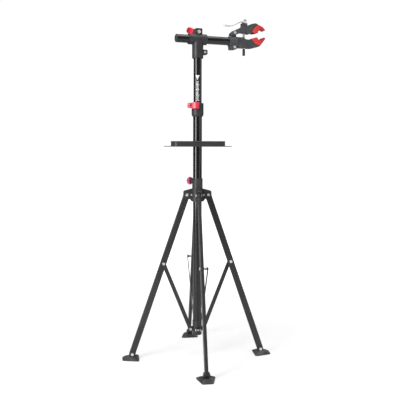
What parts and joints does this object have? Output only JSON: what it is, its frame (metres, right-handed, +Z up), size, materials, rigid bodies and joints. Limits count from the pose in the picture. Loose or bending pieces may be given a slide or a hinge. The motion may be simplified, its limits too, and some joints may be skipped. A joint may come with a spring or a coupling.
{
  "type": "bicycle repair stand",
  "caption": "Folding repair stand with a telescoping mast, tool tray, sliding boom and a cam-locked jaw clamp with soft pads.",
  "frame": {"origin": "on the floor, under the mast's axis", "axes": "+Z up along the mast, +X along the boom towards the clamp, +Y to the left of the boom"},
  "size_m": [0.7234, 0.7234, 1.6458],
  "materials": {
    "tube_paint": "gloss black enamel",
    "leg_paint": "satin black powder coat",
    "casting": "satin dark grey moulded",
    "jaw_casting": "dark grey satin cast",
    "foot_plastic": "black moulded rubber",
    "tray_plastic": "dark grey moulded, fine grain",
    "red_plastic": "red moulded, satin gloss",
    "red_rubber": "soft red rubber",
    "bush_plastic": "nylon",
    "zinc_steel": "zinc plated",
    "chrome_steel": "polished"
  },
  "bodies": {
    "mast": {"lower_tube": "tube_paint", "foot_bracket": "leg_paint", "brace_pivot_bolts": "zinc_steel", "qr_collar": "casting", "qr_skewer": "zinc_steel", "qr_cam_pin": "zinc_steel", "guide_bush": "bush_plastic", "tool_tray": "tray_plastic", "tray_collar": "casting", "tray_screw": "zinc_steel"},
    "hub": {"hub_collar": "casting", "hub_spider": "casting", "hub_pivot_bolts": "zinc_steel", "hub_rivets": "zinc_steel"},
    "knob": {"hub_knob": "red_plastic", "hub_knob_stud": "zinc_steel"},
    "leg_1": {"leg_1": "leg_paint", "leg_1_hardware": "zinc_steel"},
    "brace_1": {"brace_1": "leg_paint", "brace_1_nut": "zinc_steel"},
    "foot_1": {"foot_1": "foot_plastic"},
    "leg_2": {"leg_2": "leg_paint", "leg_2_hardware": "zinc_steel"},
    "brace_2": {"brace_2": "leg_paint", "brace_2_nut": "zinc_steel"},
    "foot_2": {"foot_2": "foot_plastic"},
    "leg_3": {"leg_3": "leg_paint", "leg_3_hardware": "zinc_steel"},
    "brace_3": {"brace_3": "leg_paint", "brace_3_nut": "zinc_steel"},
    "foot_3": {"foot_3": "foot_plastic"},
    "leg_4": {"leg_4": "leg_paint", "leg_4_hardware": "zinc_steel"},
    "brace_4": {"brace_4": "leg_paint", "brace_4_nut": "zinc_steel"},
    "foot_4": {"foot_4": "foot_plastic"},
    "qr_lever": {"qr_lever": "red_plastic"},
    "slider": {"slider_bush": "bush_plastic"},
    "upper_mast": {"upper_tube": "tube_paint", "head_casting": "casting", "head_lug_bolt": "zinc_steel", "head_skewer": "zinc_steel", "head_cam_pin": "zinc_steel"},
    "head_lever": {"head_lever": "red_plastic"},
    "liner": {"boom_liner": "bush_plastic"},
    "boom": {"boom_tube": "tube_paint", "boom_end_cap": "bush_plastic", "clamp_body": "jaw_casting", "lower_pad": "red_rubber", "clamp_bolts": "zinc_steel", "clamp_washer": "zinc_steel", "clamp_spring": "zinc_steel"},
    "jaw": {"upper_jaw": "jaw_casting", "upper_pad": "red_rubber"},
    "rod": {"clamp_rod": "zinc_steel", "lever_pin": "zinc_steel"},
    "cam_lever": {"clamp_lever": "chrome_steel"},
    "nut": {"adjusting_nut": "bush_plastic"}
  },
  "joints": [
    {"name": "hub_slide", "type": "slide", "parent": "mast", "child": "hub", "axis": [0, 0, 1], "range_m": [0, 0.0419]},
    {"name": "leg_1_fold", "type": "hinge", "parent": "hub", "child": "leg_1", "pos_m": [0.05075, -0.01134, 0.79943], "axis": [0.2181, 0.9759, 0], "range_deg": [-0.5, 16.5]},
    {"name": "brace_1_fold", "type": "hinge", "parent": "mast", "child": "brace_1", "pos_m": [0.03269, -0.00731, 0.14], "axis": [0.2181, 0.9759, 0], "range_deg": [-16.3, 0.5]},
    {"name": "foot_1_tilt", "type": "hinge", "parent": "leg_1", "child": "foot_1", "pos_m": [0.31065, -0.06944, 0.026], "axis": [0.2181, 0.9759, 0], "range_deg": [-20, 20]},
    {"name": "leg_2_fold", "type": "hinge", "parent": "hub", "child": "leg_2", "pos_m": [0.01134, 0.05075, 0.79943], "axis": [-0.9759, 0.2181, 0], "range_deg": [-0.5, 16.5]},
    {"name": "brace_2_fold", "type": "hinge", "parent": "mast", "child": "brace_2", "pos_m": [0.00731, 0.03269, 0.14], "axis": [-0.9759, 0.2181, 0], "range_deg": [-16.3, 0.5]},
    {"name": "foot_2_tilt", "type": "hinge", "parent": "leg_2", "child": "foot_2", "pos_m": [0.06944, 0.31065, 0.026], "axis": [-0.9759, 0.2181, 0], "range_deg": [-20, 20]},
    {"name": "leg_3_fold", "type": "hinge", "parent": "hub", "child": "leg_3", "pos_m": [-0.05075, 0.01134, 0.79943], "axis": [-0.2181, -0.9759, 0], "range_deg": [-0.5, 16.5]},
    {"name": "brace_3_fold", "type": "hinge", "parent": "mast", "child": "brace_3", "pos_m": [-0.03269, 0.00731, 0.14], "axis": [-0.2181, -0.9759, 0], "range_deg": [-16.3, 0.5]},
    {"name": "foot_3_tilt", "type": "hinge", "parent": "leg_3", "child": "foot_3", "pos_m": [-0.31065, 0.06944, 0.026], "axis": [-0.2181, -0.9759, 0], "range_deg": [-20, 20]},
    {"name": "leg_4_fold", "type": "hinge", "parent": "hub", "child": "leg_4", "pos_m": [-0.01134, -0.05075, 0.79943], "axis": [0.9759, -0.2181, 0], "range_deg": [-0.5, 16.5]},
    {"name": "brace_4_fold", "type": "hinge", "parent": "mast", "child": "brace_4", "pos_m": [-0.00731, -0.03269, 0.14], "axis": [0.9759, -0.2181, 0], "range_deg": [-16.3, 0.5]},
    {"name": "foot_4_tilt", "type": "hinge", "parent": "leg_4", "child": "foot_4", "pos_m": [-0.06944, -0.31065, 0.026], "axis": [0.9759, -0.2181, 0], "range_deg": [-20, 20]},
    {"name": "knob_turn", "type": "hinge", "parent": "hub", "child": "knob", "pos_m": [0, 0, 0.86553], "axis": [-0.5358, 0.8443, 0], "continuous": true},
    {"name": "qr_lever_swing", "type": "hinge", "parent": "mast", "child": "qr_lever", "pos_m": [-0.0443, -0.01034, 1.224], "axis": [0, 0, 1], "range_deg": [-100, 0]},
    {"name": "mast_slide", "type": "slide", "parent": "mast", "child": "slider", "axis": [0, 0, 1], "range_m": [-0.18, 0.2]},
    {"name": "mast_swivel", "type": "hinge", "parent": "slider", "child": "upper_mast", "pos_m": [0, 0, 1.4], "axis": [0, 0, 1], "continuous": true},
    {"name": "head_lever_swing", "type": "hinge", "parent": "upper_mast", "child": "head_lever", "pos_m": [0, 0.027, 1.5663], "axis": [0.3746, 0, 0.9272], "range_deg": [-100, 0]},
    {"name": "boom_spin", "type": "hinge", "parent": "upper_mast", "child": "liner", "pos_m": [0, 0, 1.5338], "axis": [1, 0, 0], "continuous": true},
    {"name": "boom_slide", "type": "slide", "parent": "liner", "child": "boom", "axis": [1, 0, 0], "range_m": [-0.1, 0.05]},
    {"name": "jaw_close", "type": "hinge", "parent": "boom", "child": "jaw", "pos_m": [0.183, 0, 1.5738], "axis": [0, 1, 0], "range_deg": [0, 9.5], "deforming": ["clamp_spring"]},
    {"name": "rod_tilt", "type": "hinge", "parent": "jaw", "child": "rod", "pos_m": [0.238, 0, 1.6348], "axis": [0, 1, 0], "range_deg": [-5.4, 0.3]},
    {"name": "cam_lever_lift", "type": "hinge", "parent": "rod", "child": "cam_lever", "pos_m": [0.238, 0, 1.6348], "axis": [0, 1, 0], "range_deg": [0, 120]},
    {"name": "nut_turn", "type": "hinge", "parent": "rod", "child": "nut", "pos_m": [0.238, 0, 1.4888], "axis": [0, 0, 1], "continuous": true}
  ],
  "couplings": [
    {"joint": "leg_1_fold", "follows": "hub_slide", "rad_per_m": 6.665},
    {"joint": "brace_1_fold", "follows": "hub_slide", "rad_per_m": -6.591},
    {"joint": "leg_2_fold", "follows": "hub_slide", "rad_per_m": 6.665},
    {"joint": "brace_2_fold", "follows": "hub_slide", "rad_per_m": -6.591},
    {"joint": "leg_3_fold", "follows": "hub_slide", "rad_per_m": 6.665},
    {"joint": "brace_3_fold", "follows": "hub_slide", "rad_per_m": -6.591},
    {"joint": "leg_4_fold", "follows": "hub_slide", "rad_per_m": 6.665},
    {"joint": "brace_4_fold", "follows": "hub_slide", "rad_per_m": -6.591},
    {"joint": "rod_tilt", "follows": "jaw_close", "ratio": -0.534}
  ]
}
